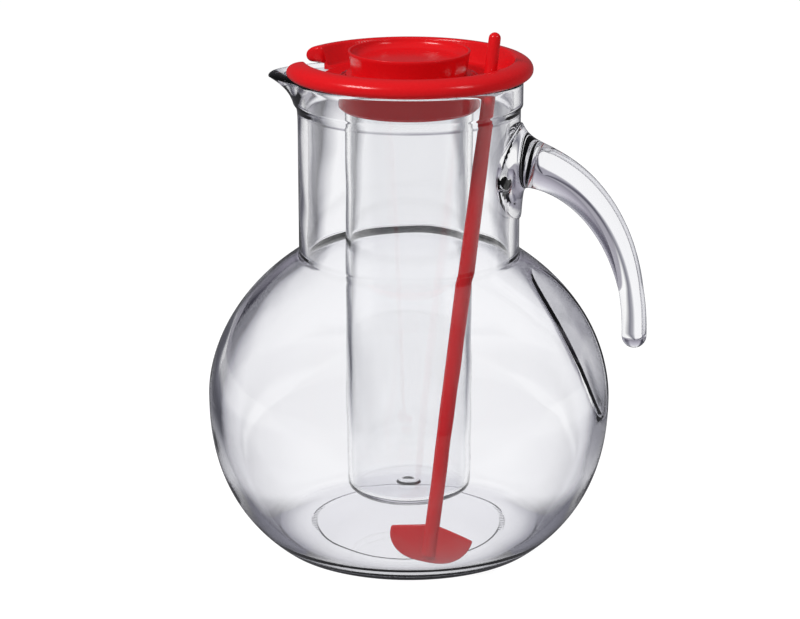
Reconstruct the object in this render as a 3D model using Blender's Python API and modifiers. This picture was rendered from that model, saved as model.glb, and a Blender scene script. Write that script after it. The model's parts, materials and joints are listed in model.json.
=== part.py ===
"""Glass water jug with a lid, an ice tube, its cap and a stirrer. Metres, +Z up.

The origin is the centre of the jug's base. +X points to the handle and -X to the spout.
"""
import math

import bmesh
import bpy
from mathutils import Matrix, Vector

MM = 0.001

# Belly: two superellipse halves that meet at its widest height
BELLY_RADIUS = 82.0 * MM
BELLY_HEIGHT = 62.7 * MM
SHOULDER_REACH = 72.2 * MM
SHOULDER_POWER = 1.854
HEEL_REACH = 76.8 * MM
HEEL_POWER = 2.328
GLASS_WALL = 3.8 * MM
FLOOR_THICKNESS = 5.0 * MM
FLOOR_FILLET = 5.0 * MM
FLOOR_START_SHARE = 0.4
HEEL_LIFT = 1.2 * MM
HEEL_EDGE_LIFT = 0.7 * MM
HEEL_EDGE_INSET = 2.2 * MM
BASE_FLAT_RADIUS = 43.0 * MM

# Neck and the thicker band below the rim
NECK_RADIUS = 44.5 * MM
NECK_FILLET_OUTSIDE = 1.5 * MM
NECK_FILLET_INSIDE = 3.0 * MM
BAND_PROUD = 0.9 * MM
BAND_HEIGHT = 11.2 * MM
BAND_CHAMFER = 1.6 * MM
RIM_HEIGHT = 194.0 * MM
RIM_WALL = 3.6 * MM

# Spout, pulled out of the rim opposite the handle
SPOUT_REACH = 11.9 * MM
SPOUT_DEPTH = 18.2 * MM
SPOUT_HALF_ANGLE = math.radians(40)
SPOUT_SHARPNESS = 2.2
SPOUT_CLIMB_POWER = 3.0
SPOUT_INSIDE_LAG = 2.2 * MM

# Panel pressed into the belly under the handle: flat across and gently bent along its height
PANEL_BEND_RADIUS = 103.8 * MM
PANEL_REACH = 83.1 * MM
PANEL_BEND_HEIGHT = 41.6 * MM

# Handle: a tapered glass hook whose line is a quarter superellipse, with one free end
HANDLE_REACH = 92.1 * MM
HANDLE_START = 39.8 * MM
HANDLE_ROOT_DROP = 33.0 * MM
HANDLE_TIP_HEIGHT = 86.5 * MM
HANDLE_CURVE_POWER = 2.1
HANDLE_ROOT_RADIUS = 9.9 * MM
HANDLE_TIP_RADIUS = 5.0 * MM
HANDLE_TAPER_END = math.radians(75)
PAD_RADIUS = 19.0 * MM
PAD_WIDTH_SHARE = 1.15
PAD_DROP = 3.6 * MM
PAD_FLARE_ABOVE = 2.8 * MM
PAD_FLARE_BELOW = 0.9 * MM
PAD_FLARE_LENGTH = 8.0 * MM
PAD_THICKNESS = 0.8 * MM
PAD_BURIED = 6.0 * MM
PAD_WRAP_REACH = 9.0 * MM

# Lid: rim ring, deck and collar in one moulding
RING_OVERHANG = 3.9 * MM
RING_CREST_INSET = 6.8 * MM
RING_RISE = 6.9 * MM
RING_WIDEST_RISE = 2.5 * MM
RING_UNDERSIDE_WIDTH = 1.4 * MM
RING_TOP_POWER = 2.2
LID_WALL = 1.4 * MM
DECK_DROP = 0.8 * MM
DECK_FILLET = 1.0 * MM
WALL_LEAN = 1.9 * MM
COLLAR_WALL = 2.2 * MM
COLLAR_DEPTH = 11.9 * MM
COLLAR_CHAMFER = 1.1 * MM
PLUG_CLEARANCE = 0.5 * MM
POUR_HALF_ANGLE = math.radians(19.5)
POUR_EDGE = 35.5 * MM
SLOT_WIDTH = 7.6 * MM
SLOT_HALF_ANGLE = math.radians(24)

# Ice tube
TUBE_RADIUS = 25.6 * MM
TUBE_WALL = 1.9 * MM
TUBE_FLOOR = 2.5 * MM
TUBE_CORNER = 4.0 * MM
TUBE_FLOOR_GAP = 14.9 * MM
FLANGE_WIDTH = 1.9 * MM
FLANGE_THICKNESS = 1.8 * MM
PIP_RADIUS = 4.9 * MM
PIP_HEIGHT = 1.0 * MM
TUBE_CLEARANCE = 0.4 * MM

# Cap of the ice tube: a shallow dish on a hollow plug
CAP_RIM_RADIUS = 24.3 * MM
CAP_WAIST_RADIUS = 22.9 * MM
CAP_RISE = 9.8 * MM
CAP_RIM_WIDTH = 1.0 * MM
CAP_DISH_DEPTH = 3.3 * MM
CAP_DISH_RADIUS = 18.5 * MM
CAP_WALL = 1.4 * MM
CAP_SHOULDER_WIDTH = 1.4 * MM
CAP_SHOULDER_HEIGHT = 1.0 * MM
PLUG_DEPTH = 6.5 * MM

# Stirrer: a leaning rod with a half-moon paddle at its foot
FOOT_RADIUS = 48.0 * MM
FOOT_ANGLE = math.radians(-69.9)
FOOT_CLEARANCE = 0.9 * MM
ROD_DECK_ANGLE = math.radians(-12.5)
ROD_TOP_RISE = 19.2 * MM
ROD_TOP_RADIUS = 2.4 * MM
ROD_MIDDLE_RADIUS = 3.15 * MM
ROD_FOOT_RADIUS = 2.9 * MM
ROD_FOOT_GAP = 3.0 * MM
PADDLE_WIDTH = 33.4 * MM
PADDLE_HEIGHT = 15.8 * MM
PADDLE_DROP = 3.8 * MM
PADDLE_SKEW_SHARE = 0.18
PADDLE_THICKNESS = 1.6 * MM
PADDLE_POWER = 2.2
PADDLE_ANGLE = math.radians(-7)

# Gap kept between neighbours that touch
JOIN_GAP = 0.3 * MM

# How far cutters reach past a piece, how near points are welded, and what is shaded as an edge
CUT_OVERRUN = 20.0 * MM
WELD_DISTANCE = 0.01 * MM
SHARP_ANGLE = math.radians(35)

# Steps of the round shapes, and how far the tip of a rod closes
JUG_STEPS = 64
LID_STEPS = 64
TUBE_STEPS = 48
HANDLE_BEVEL_STEPS = 10
ROD_BEVEL_STEPS = 3
TIP_SHARE = 0.08

# Sizes that follow from the ones above
SPOUT_SIDE = math.pi
INNER_BELLY_RADIUS = BELLY_RADIUS - GLASS_WALL
JUNCTION_SHARE = (1 - (NECK_RADIUS / BELLY_RADIUS) ** SHOULDER_POWER) ** (1 / SHOULDER_POWER)
JUNCTION_HEIGHT = BELLY_HEIGHT + SHOULDER_REACH * JUNCTION_SHARE
BAND_RADIUS = NECK_RADIUS + BAND_PROUD
BAND_BOTTOM = RIM_HEIGHT - BAND_HEIGHT
PANEL_BEND_OFFSET = PANEL_BEND_RADIUS - PANEL_REACH
HANDLE_ROOT_HEIGHT = RIM_HEIGHT - HANDLE_ROOT_DROP
RIM_INNER_RADIUS = BAND_RADIUS - RIM_WALL
LIP_RADIUS = RIM_WALL / 2
LIP_HEIGHT = RIM_HEIGHT - LIP_RADIUS
RING_BOTTOM = RIM_HEIGHT + JOIN_GAP
RING_OUTER_RADIUS = BAND_RADIUS + RING_OVERHANG
DECK_TOP = RIM_HEIGHT - DECK_DROP
DECK_BOTTOM = DECK_TOP - LID_WALL
PLUG_RADIUS = RIM_INNER_RADIUS - PLUG_CLEARANCE
DECK_RADIUS = PLUG_RADIUS - LID_WALL
COLLAR_BORE = TUBE_RADIUS + TUBE_CLEARANCE
COLLAR_RADIUS = COLLAR_BORE + COLLAR_WALL
COLLAR_BOTTOM = DECK_TOP - COLLAR_DEPTH
FLANGE_RADIUS = TUBE_RADIUS + FLANGE_WIDTH
LEDGE_RADIUS = FLANGE_RADIUS + TUBE_CLEARANCE
FLANGE_BOTTOM = DECK_BOTTOM + JOIN_GAP
TUBE_TOP = FLANGE_BOTTOM + FLANGE_THICKNESS
TUBE_BOTTOM = FLOOR_THICKNESS + TUBE_FLOOR_GAP
TUBE_BORE = TUBE_RADIUS - TUBE_WALL
CAP_BOTTOM = TUBE_TOP + JOIN_GAP
CAP_TOP = CAP_BOTTOM + CAP_RISE
SLOT_RADIUS = (COLLAR_RADIUS + DECK_RADIUS) / 2


def clear_scene():
    for item in list(bpy.data.objects):
        bpy.data.objects.remove(item, do_unlink=True)


def new_collection(name):
    collection = bpy.data.collections.new(name)
    bpy.context.scene.collection.children.link(collection)
    return collection


def new_material(name, color, roughness, transmission=0.0):
    material = bpy.data.materials.new(name)
    material.use_nodes = True
    shader = material.node_tree.nodes["Principled BSDF"]
    shader.inputs["Base Color"].default_value = (*color, 1.0)
    shader.inputs["Roughness"].default_value = roughness
    shader.inputs["Metallic"].default_value = 0.0
    shader.inputs["Transmission Weight"].default_value = transmission
    return material


def smooth_max(a, b, width):
    """The larger of two lengths, with their meeting rounded over the given width."""
    share = max(width - abs(a - b), 0.0) / width
    return max(a, b) + share * share * width / 4


def evenly(start, stop, count):
    """Evenly spaced values from start to stop, both included."""
    return [start + (stop - start) * index / (count - 1) for index in range(count)]


def superellipse(share, across, along, power):
    """A point of a superellipse quarter. Share 0 is its end along and share 1 its end across."""
    angle = share * math.pi / 2
    return (
        across * math.sin(angle) ** (2 / power),
        along * math.cos(angle) ** (2 / power),
    )


def belly_radius(height, inset):
    """Radius of the belly alone at a height, with its wall inset from the outside."""
    if height > BELLY_HEIGHT:
        reach, power = SHOULDER_REACH - inset, SHOULDER_POWER
    else:
        reach, power = HEEL_REACH - inset, HEEL_POWER
    share = min(abs(height - BELLY_HEIGHT) / reach, 1.0)
    return (BELLY_RADIUS - inset) * (1 - share**power) ** (1 / power)


def outer_radius(height):
    return smooth_max(belly_radius(height, 0.0), NECK_RADIUS, NECK_FILLET_OUTSIDE)


def inner_radius(height):
    """Radius of the inside, where the neck and the belly run into each other softly."""
    neck = NECK_RADIUS - GLASS_WALL
    return smooth_max(belly_radius(height, GLASS_WALL), neck, NECK_FILLET_INSIDE)


def floor_height(radius):
    """Height of the jug's inside at a radius, on its floor and the curve round it."""
    share = min(radius / INNER_BELLY_RADIUS, 1.0)
    curve = (1 - share**HEEL_POWER) ** (1 / HEEL_POWER)
    heel = BELLY_HEIGHT - (HEEL_REACH - GLASS_WALL) * curve
    return smooth_max(heel, FLOOR_THICKNESS, FLOOR_FILLET)


def jug_outline():
    """The jug's section from the middle of its floor, up inside and down outside."""
    junction = JUNCTION_HEIGHT
    blend = NECK_FILLET_INSIDE
    points = [(0.0, FLOOR_THICKNESS)]
    for share in evenly(FLOOR_START_SHARE, 1.0, 9):
        radius = INNER_BELLY_RADIUS * math.sin(share * math.pi / 2)
        points.append((radius, floor_height(radius)))
    for height in evenly(BELLY_HEIGHT, junction - blend, 7)[1:]:
        points.append((inner_radius(height), height))
    for height in evenly(junction - blend, junction + blend / 2, 5)[1:]:
        points.append((inner_radius(height), height))
    neck = NECK_RADIUS - GLASS_WALL
    points.append((neck, LIP_HEIGHT - SPOUT_DEPTH))
    points.append((neck, BAND_BOTTOM - BAND_CHAMFER))
    for height in evenly(BAND_BOTTOM, LIP_HEIGHT, 5)[:-1]:
        points.append((RIM_INNER_RADIUS, height))
    for angle in evenly(math.pi, 0.0, 7):
        radius = BAND_RADIUS - LIP_RADIUS + LIP_RADIUS * math.cos(angle)
        points.append((radius, LIP_HEIGHT + LIP_RADIUS * math.sin(angle)))
    for height in evenly(LIP_HEIGHT, BAND_BOTTOM, 5)[1:]:
        points.append((BAND_RADIUS, height))
    points.append((NECK_RADIUS, BAND_BOTTOM - BAND_CHAMFER))
    points.append((NECK_RADIUS, LIP_HEIGHT - SPOUT_DEPTH))
    points.append((NECK_RADIUS, junction + NECK_FILLET_OUTSIDE))
    points.append((outer_radius(junction), junction))
    for height in evenly(junction - NECK_FILLET_OUTSIDE, BELLY_HEIGHT, 10):
        points.append((outer_radius(height), height))
    for share in evenly(1.0, 0.0, 14)[1:]:
        radius, drop = superellipse(share, BELLY_RADIUS, HEEL_REACH, HEEL_POWER)
        if BELLY_HEIGHT - drop > 2 * HEEL_LIFT:
            points.append((radius, BELLY_HEIGHT - drop))
    corner = belly_radius(HEEL_LIFT, 0.0)
    points.append((corner, HEEL_LIFT))
    points.append((corner - HEEL_EDGE_INSET, HEEL_EDGE_LIFT))
    points.append((BASE_FLAT_RADIUS, 0.0))
    points.append((0.0, 0.0))
    return points


def outline_mesh(name, points, closed):
    """A profile in the XZ plane, given as radius and height."""
    mesh = bpy.data.meshes.new(name)
    edges = [(index, index + 1) for index in range(len(points) - 1)]
    if closed:
        edges.append((len(points) - 1, 0))
    mesh.from_pydata([(radius, 0.0, height) for radius, height in points], edges, [])
    return mesh


def turned(name, points, steps, collection, material=None, closed=False):
    """A profile turned round the Z axis."""
    piece = bpy.data.objects.new(name, outline_mesh(name, points, closed))
    collection.objects.link(piece)
    screw = piece.modifiers.new("turn", "SCREW")
    screw.axis = "Z"
    screw.steps = steps
    screw.render_steps = steps
    screw.use_merge_vertices = True
    screw.merge_threshold = WELD_DISTANCE
    screw.use_smooth_shade = True
    if material:
        piece.data.materials.append(material)
    return piece


def realised(piece):
    """Replaces an object by a mesh object of its evaluated shape, with its loose caps welded."""
    graph = bpy.context.evaluated_depsgraph_get()
    mesh = bpy.data.meshes.new_from_object(piece.evaluated_get(graph))
    solid = bmesh.new()
    solid.from_mesh(mesh)
    bmesh.ops.remove_doubles(solid, verts=solid.verts, dist=WELD_DISTANCE)
    bmesh.ops.recalc_face_normals(solid, faces=solid.faces)
    solid.to_mesh(mesh)
    solid.free()
    name = piece.name
    collection = piece.users_collection[0]
    place = piece.matrix_world.copy()
    bpy.data.objects.remove(piece, do_unlink=True)
    mesh.name = name
    result = bpy.data.objects.new(name, mesh)
    result.matrix_world = place
    collection.objects.link(result)
    return result


def smooth_shaded(piece):
    piece.data.shade_smooth()
    piece.data.set_sharp_from_angle(angle=SHARP_ANGLE)


def cut(piece, cutter, operation="DIFFERENCE"):
    boolean = piece.modifiers.new(cutter.name, "BOOLEAN")
    boolean.operation = operation
    boolean.object = cutter
    boolean.solver = "EXACT"


def as_cutter(piece):
    piece.hide_render = True
    piece.display_type = "WIRE"
    return piece


def wall_share(radius, height):
    """0 on the outside of the glass and 1 on its inside."""
    if height > BAND_BOTTOM:
        outside, inside = BAND_RADIUS, RIM_INNER_RADIUS
    else:
        outside, inside = outer_radius(height), inner_radius(height)
    return min(max((outside - radius) / (outside - inside), 0.0), 1.0)


def panel_radius(angle, height, share):
    """How far out the panel lets the glass reach in one direction."""
    facing = math.cos(angle)
    if facing <= 0.0:
        return math.inf
    bend = PANEL_BEND_RADIUS - GLASS_WALL * share
    rise = height - PANEL_BEND_HEIGHT
    reach = math.sqrt(max(bend * bend - rise * rise, 0.0)) - PANEL_BEND_OFFSET
    return max(reach, 0.0) / facing


def spout_pull(angle, height, share):
    """How far the spout takes a point of the rim outwards."""
    side = min(abs(angle) / SPOUT_HALF_ANGLE, 1.0)
    width = (0.5 + 0.5 * math.cos(math.pi * side)) ** SPOUT_SHARPNESS
    level = min(height, LIP_HEIGHT) - SPOUT_INSIDE_LAG * share
    climb = (level - LIP_HEIGHT + SPOUT_DEPTH) / SPOUT_DEPTH
    return SPOUT_REACH * width * min(max(climb, 0.0), 1.0) ** SPOUT_CLIMB_POWER


def shape_glass(mesh):
    """Presses the panel into the belly and pulls the spout out of the rim."""
    for vertex in mesh.vertices:
        x, y, height = vertex.co
        radius = math.hypot(x, y)
        angle = math.atan2(y, x)
        share = wall_share(radius, height)
        if height < BAND_BOTTOM - BAND_CHAMFER:
            neck = NECK_RADIUS - GLASS_WALL * share
            radius = min(radius, max(panel_radius(angle, height, share), neck))
        to_spout = math.remainder(angle - SPOUT_SIDE, math.tau)
        radius += spout_pull(to_spout, height, share)
        vertex.co.x = radius * math.cos(angle)
        vertex.co.y = radius * math.sin(angle)


def make_jug_body(parts, glass):
    body = realised(turned("jug_body", jug_outline(), JUG_STEPS, parts))
    shape_glass(body.data)
    body.data.materials.append(glass)
    smooth_shaded(body)
    return body


def handle_point(turn):
    """Centre of the handle's rod. Turn 0 is at the neck and a quarter turn at the free end."""
    low = HANDLE_TIP_HEIGHT + HANDLE_TIP_RADIUS
    out, up = superellipse(
        turn / (math.pi / 2),
        HANDLE_REACH - HANDLE_START,
        HANDLE_ROOT_HEIGHT - low,
        HANDLE_CURVE_POWER,
    )
    return Vector((HANDLE_START + out, 0.0, low + up))


def handle_section(turn):
    """Centre and radius of the handle, with its pad's flare, soft above and tight below."""
    taper = min(turn / HANDLE_TAPER_END, 1.0)
    rod = HANDLE_ROOT_RADIUS + (HANDLE_TIP_RADIUS - HANDLE_ROOT_RADIUS) * taper
    centre = handle_point(turn)
    away = max(centre.x - NECK_RADIUS - PAD_THICKNESS, 0.0)
    above = (PAD_RADIUS - PAD_DROP - rod) * math.exp(-away / PAD_FLARE_ABOVE)
    below = (PAD_RADIUS + PAD_DROP - rod) * math.exp(-away / PAD_FLARE_BELOW)
    centre.z += (above - below) / 2
    return centre, rod + (above + below) / 2


def handle_stations():
    """Centres and radii along the handle, from inside the neck's wall to the rounded tip."""
    stations = []
    start = NECK_RADIUS - PAD_BURIED
    stations.append((Vector((start, 0.0, HANDLE_ROOT_HEIGHT - PAD_DROP)), PAD_RADIUS))
    for share in evenly(0.0, 1.0, 9):
        reach = NECK_RADIUS + PAD_THICKNESS + PAD_FLARE_LENGTH * share * share
        across = (reach - HANDLE_START) / (HANDLE_REACH - HANDLE_START)
        turn = math.asin(across ** (HANDLE_CURVE_POWER / 2))
        stations.append(handle_section(turn))
    for turn in evenly(turn, math.pi / 2, 12)[1:]:
        stations.append(handle_section(turn))
    end = stations[-1][0]
    for angle in evenly(0.0, math.pi / 2, 6)[1:]:
        point = end - Vector((0.0, 0.0, HANDLE_TIP_RADIUS * math.sin(angle)))
        radius = HANDLE_TIP_RADIUS * max(math.cos(angle), TIP_SHARE)
        stations.append((point, radius))
    return stations


def swept_rod(name, stations, parts, resolution):
    """A round rod through the stations, each a centre and a radius."""
    widest = max(radius for centre, radius in stations)
    curve = bpy.data.curves.new(name, "CURVE")
    curve.dimensions = "3D"
    curve.bevel_depth = widest
    curve.bevel_resolution = resolution
    curve.use_fill_caps = True
    spline = curve.splines.new("POLY")
    spline.points.add(len(stations) - 1)
    for point, (centre, radius) in zip(spline.points, stations):
        point.co = (*centre, 1.0)
        point.radius = radius / widest
    rod = bpy.data.objects.new(name, curve)
    parts.objects.link(rod)
    return realised(rod)


def wrap_pad(mesh):
    """Widens the handle's pad and bends it round the neck."""
    for vertex in mesh.vertices:
        away = vertex.co.x - NECK_RADIUS
        fade = min(max(1 - away / PAD_WRAP_REACH, 0.0), 1.0)
        vertex.co.y *= 1 + (PAD_WIDTH_SHARE - 1) * fade
        side = min(abs(vertex.co.y), NECK_RADIUS)
        drop = NECK_RADIUS - math.sqrt(NECK_RADIUS**2 - side**2)
        vertex.co.x -= drop * fade


def neck_outline():
    """The outside of the band, neck and shoulder, with the gap that the handle keeps to them."""
    top = RIM_HEIGHT + CUT_OVERRUN
    points = [(0.0, top), (BAND_RADIUS + JOIN_GAP, top)]
    points.append((BAND_RADIUS + JOIN_GAP, BAND_BOTTOM - JOIN_GAP))
    points.append((NECK_RADIUS + JOIN_GAP, BAND_BOTTOM - BAND_CHAMFER - JOIN_GAP))
    points.append((NECK_RADIUS + JOIN_GAP, JUNCTION_HEIGHT + NECK_FILLET_OUTSIDE))
    for height in evenly(JUNCTION_HEIGHT, BELLY_HEIGHT, 12):
        points.append((outer_radius(height) + JOIN_GAP, height))
    points.append((0.0, BELLY_HEIGHT))
    return points


def make_jug_handle(parts, cutters, glass):
    handle = swept_rod("jug_handle", handle_stations(), parts, HANDLE_BEVEL_STEPS)
    wrap_pad(handle.data)
    handle.data.materials.append(glass)
    neck = as_cutter(turned("neck_cutter", neck_outline(), JUG_STEPS, cutters))
    cut(handle, neck)
    handle = realised(handle)
    smooth_shaded(handle)
    return handle


def ring_outline():
    """The outside of the lid's ring, from the top of its inner wall down to the rim."""
    crest = RING_OUTER_RADIUS - RING_CREST_INSET
    widest = RING_BOTTOM + RING_WIDEST_RISE
    top = RING_BOTTOM + RING_RISE
    inner_top = DECK_RADIUS + WALL_LEAN
    points = [(inner_top, top - LID_WALL / 2)]
    points.append((inner_top + LID_WALL / 4, top - LID_WALL / 8))
    for share in evenly(0.0, 1.0, 8):
        out, up = superellipse(share, RING_OUTER_RADIUS - crest, top - widest, RING_TOP_POWER)
        points.append((crest + out, widest + up))
    low_width = RING_OVERHANG - RING_UNDERSIDE_WIDTH
    for share in evenly(1.0, 0.0, 5)[1:]:
        out, down = superellipse(share, low_width, RING_WIDEST_RISE, 2)
        points.append((RING_OUTER_RADIUS - low_width + out, widest - down))
    return points


def lid_outline():
    """The lid's closed section, down its outside and up its bore, deck and inner wall."""
    points = ring_outline()
    points.append((PLUG_RADIUS, RING_BOTTOM))
    points.append((PLUG_RADIUS, DECK_BOTTOM))
    points.append((COLLAR_RADIUS, DECK_BOTTOM))
    points.append((COLLAR_RADIUS, COLLAR_BOTTOM + COLLAR_CHAMFER))
    points.append((COLLAR_RADIUS - COLLAR_CHAMFER, COLLAR_BOTTOM))
    points.append((COLLAR_BORE, COLLAR_BOTTOM))
    points.append((COLLAR_BORE, DECK_BOTTOM))
    points.append((LEDGE_RADIUS, DECK_BOTTOM))
    points.append((LEDGE_RADIUS, DECK_TOP))
    points.append((DECK_RADIUS - DECK_FILLET, DECK_TOP))
    points.append((DECK_RADIUS, DECK_TOP + DECK_FILLET))
    return points


def pour_cutter(cutters):
    """A wedge that opens the ring, wall and deck towards the spout."""
    far = RING_OUTER_RADIUS + CUT_OVERRUN
    slope = math.tan(POUR_HALF_ANGLE)
    corners = [
        (-POUR_EDGE, POUR_EDGE * slope),
        (-far, far * slope),
        (-far, -far * slope),
        (-POUR_EDGE, -POUR_EDGE * slope),
    ]
    return prism("pour_cutter", corners, cutters)


def slot_cutter(cutters):
    """An arc slot with round ends, opposite the spout."""
    corners = []
    half = SLOT_WIDTH / 2
    for angle in evenly(-SLOT_HALF_ANGLE, SLOT_HALF_ANGLE, 9):
        corners.append(polar(SLOT_RADIUS + half, angle))
    corners += slot_end(SLOT_HALF_ANGLE, 1)
    for angle in evenly(SLOT_HALF_ANGLE, -SLOT_HALF_ANGLE, 9):
        corners.append(polar(SLOT_RADIUS - half, angle))
    corners += slot_end(-SLOT_HALF_ANGLE, -1)
    return prism("slot_cutter", corners, cutters)


def slot_end(angle, turn):
    """The points between the two sides of the slot at one of its round ends."""
    centre_x, centre_y = polar(SLOT_RADIUS, angle)
    points = []
    for sweep in evenly(0.0, math.pi, 7)[1:-1]:
        start = angle if turn > 0 else angle + math.pi
        x, y = polar(SLOT_WIDTH / 2, start + sweep)
        points.append((centre_x + x, centre_y + y))
    return points


def polar(radius, angle):
    return radius * math.cos(angle), radius * math.sin(angle)


def prism(name, corners, cutters):
    """An upright cutter through the lid, from a flat outline."""
    curve = bpy.data.curves.new(name, "CURVE")
    curve.dimensions = "2D"
    curve.fill_mode = "BOTH"
    curve.extrude = CUT_OVERRUN
    spline = curve.splines.new("POLY")
    spline.points.add(len(corners) - 1)
    for point, (x, y) in zip(spline.points, corners):
        point.co = (x, y, 0.0, 1.0)
    spline.use_cyclic_u = True
    outline = bpy.data.objects.new(name, curve)
    outline.matrix_world = Matrix.Translation((0.0, 0.0, DECK_TOP))
    cutters.objects.link(outline)
    return as_cutter(realised(outline))


def make_lid(parts, cutters, red):
    lid = turned("lid", lid_outline(), LID_STEPS, parts, red, closed=True)
    cut(lid, pour_cutter(cutters))
    cut(lid, slot_cutter(cutters))
    lid = realised(lid)
    smooth_shaded(lid)
    return lid


def make_ice_tube(parts, clear):
    inner_floor = TUBE_BOTTOM + TUBE_FLOOR
    inner_corner = TUBE_CORNER - TUBE_WALL
    points = [(0.0, inner_floor + PIP_HEIGHT)]
    points.append((PIP_RADIUS - PIP_HEIGHT, inner_floor + PIP_HEIGHT))
    points.append((PIP_RADIUS, inner_floor))
    for angle in evenly(-math.pi / 2, 0.0, 4):
        out = inner_corner * math.cos(angle)
        up = inner_corner * (1 + math.sin(angle))
        points.append((TUBE_BORE - inner_corner + out, inner_floor + up))
    points.append((TUBE_BORE, TUBE_TOP))
    points.append((FLANGE_RADIUS, TUBE_TOP))
    points.append((FLANGE_RADIUS, FLANGE_BOTTOM))
    points.append((TUBE_RADIUS, FLANGE_BOTTOM))
    for angle in evenly(0.0, -math.pi / 2, 6):
        out = TUBE_CORNER * math.cos(angle)
        up = TUBE_CORNER * (1 + math.sin(angle))
        points.append((TUBE_RADIUS - TUBE_CORNER + out, TUBE_BOTTOM + up))
    points.append((0.0, TUBE_BOTTOM))
    tube = turned("ice_tube", points, TUBE_STEPS, parts, clear)
    tube = realised(tube)
    smooth_shaded(tube)
    return tube


def make_tube_cap(parts, red):
    plug = TUBE_BORE - TUBE_CLEARANCE
    dish = CAP_TOP - CAP_DISH_DEPTH
    rim_inner = CAP_RIM_RADIUS - CAP_RIM_WIDTH
    shoulder_top = CAP_BOTTOM + CAP_SHOULDER_HEIGHT
    shoulder = TUBE_BORE + CAP_SHOULDER_WIDTH
    points = [(0.0, dish), (CAP_DISH_RADIUS, dish)]
    for share in evenly(0.0, 1.0, 5)[1:]:
        out, down = superellipse(share, rim_inner - CAP_DISH_RADIUS, CAP_DISH_DEPTH, 2)
        points.append((CAP_DISH_RADIUS + out, CAP_TOP - down))
    points.append((CAP_RIM_RADIUS - CAP_RIM_WIDTH / 2, CAP_TOP + CAP_RIM_WIDTH / 4))
    points.append((CAP_RIM_RADIUS, CAP_TOP - CAP_RIM_WIDTH / 4))
    points.append((CAP_WAIST_RADIUS, shoulder_top))
    points.append((shoulder, shoulder_top))
    points.append((shoulder, CAP_BOTTOM))
    points.append((plug, CAP_BOTTOM))
    points.append((plug, CAP_BOTTOM - PLUG_DEPTH))
    points.append((plug - CAP_WALL, CAP_BOTTOM - PLUG_DEPTH))
    points.append((CAP_WAIST_RADIUS - CAP_WALL, shoulder_top))
    points.append((CAP_DISH_RADIUS, dish - CAP_WALL))
    points.append((0.0, dish - CAP_WALL))
    cap = realised(turned("tube_cap", points, TUBE_STEPS, parts, red))
    smooth_shaded(cap)
    return cap


def stirrer_foot():
    """The lowest point of the paddle, on the line of the rod."""
    x, y = polar(FOOT_RADIUS, FOOT_ANGLE)
    return Vector((x, y, floor_height(FOOT_RADIUS) + FOOT_CLEARANCE))


def stirrer_direction():
    """The lean of the rod, from its foot to the middle of the lid's slot."""
    x, y = polar(SLOT_RADIUS, ROD_DECK_ANGLE)
    return (Vector((x, y, DECK_TOP)) - stirrer_foot()).normalized()


def rod_stations():
    """Centres and radii along the rod, rounded at its top."""
    foot = stirrer_foot()
    lean = stirrer_direction()
    length = (RIM_HEIGHT + ROD_TOP_RISE - foot.z) / lean.z
    straight_end = length - ROD_TOP_RADIUS
    middle = (ROD_FOOT_GAP + straight_end) / 2
    stations = []
    for along in evenly(ROD_FOOT_GAP, straight_end, 13):
        share = abs(along - middle) / (straight_end - middle)
        end = ROD_FOOT_RADIUS if along < middle else ROD_TOP_RADIUS
        radius = ROD_MIDDLE_RADIUS + (end - ROD_MIDDLE_RADIUS) * share
        stations.append((foot + lean * along, radius))
    for angle in evenly(0.0, math.pi / 2, 5)[1:]:
        along = straight_end + ROD_TOP_RADIUS * math.sin(angle)
        radius = ROD_TOP_RADIUS * max(math.cos(angle), TIP_SHARE)
        stations.append((foot + lean * along, radius))
    return stations


def paddle_outline():
    """The paddle's outline: edges that slope away from the rod and a skewed half-moon below."""
    half = PADDLE_WIDTH / 2
    deep = PADDLE_HEIGHT - PADDLE_DROP
    points = [(0.0, PADDLE_HEIGHT)]
    for share in evenly(1.0, -1.0, 25):
        across, down = superellipse(abs(share), half, deep, PADDLE_POWER)
        points.append((math.copysign(across, share) - PADDLE_SKEW_SHARE * down, deep - down))
    return points


def make_paddle(parts):
    """The flat paddle, standing on the rod's line at its foot."""
    curve = bpy.data.curves.new("paddle", "CURVE")
    curve.dimensions = "2D"
    curve.fill_mode = "BOTH"
    curve.extrude = PADDLE_THICKNESS / 2
    spline = curve.splines.new("POLY")
    corners = paddle_outline()
    spline.points.add(len(corners) - 1)
    for point, (across, up) in zip(spline.points, corners):
        point.co = (across, up, 0.0, 1.0)
    spline.use_cyclic_u = True
    paddle = bpy.data.objects.new("paddle", curve)
    parts.objects.link(paddle)
    lean = stirrer_direction()
    level = Vector((math.cos(PADDLE_ANGLE), math.sin(PADDLE_ANGLE), 0.0))
    across = (level - lean * level.dot(lean)).normalized()
    facing = across.cross(lean)
    frame = Matrix((across, lean, facing)).transposed().to_4x4()
    paddle.matrix_world = Matrix.Translation(stirrer_foot()) @ frame
    return realised(paddle)


def make_stirrer(parts, cutters, red):
    stirrer = swept_rod("stirrer", rod_stations(), parts, ROD_BEVEL_STEPS)
    paddle = make_paddle(cutters)
    stirrer.data.materials.append(red)
    cut(stirrer, as_cutter(paddle), "UNION")
    stirrer = realised(stirrer)
    smooth_shaded(stirrer)
    return stirrer


def main():
    clear_scene()
    parts = new_collection("water_jug")
    cutters = new_collection("cutters")
    glass = new_material("clear_glass", (0.93, 0.96, 0.96), 0.02, 1.0)
    clear = new_material("clear_plastic", (0.95, 0.97, 0.97), 0.05, 1.0)
    red = new_material("red_plastic", (0.80, 0.015, 0.02), 0.18)
    make_jug_body(parts, glass)
    make_jug_handle(parts, cutters, glass)
    make_lid(parts, cutters, red)
    make_ice_tube(parts, clear)
    make_tube_cap(parts, red)
    make_stirrer(parts, cutters, red)


main()
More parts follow.
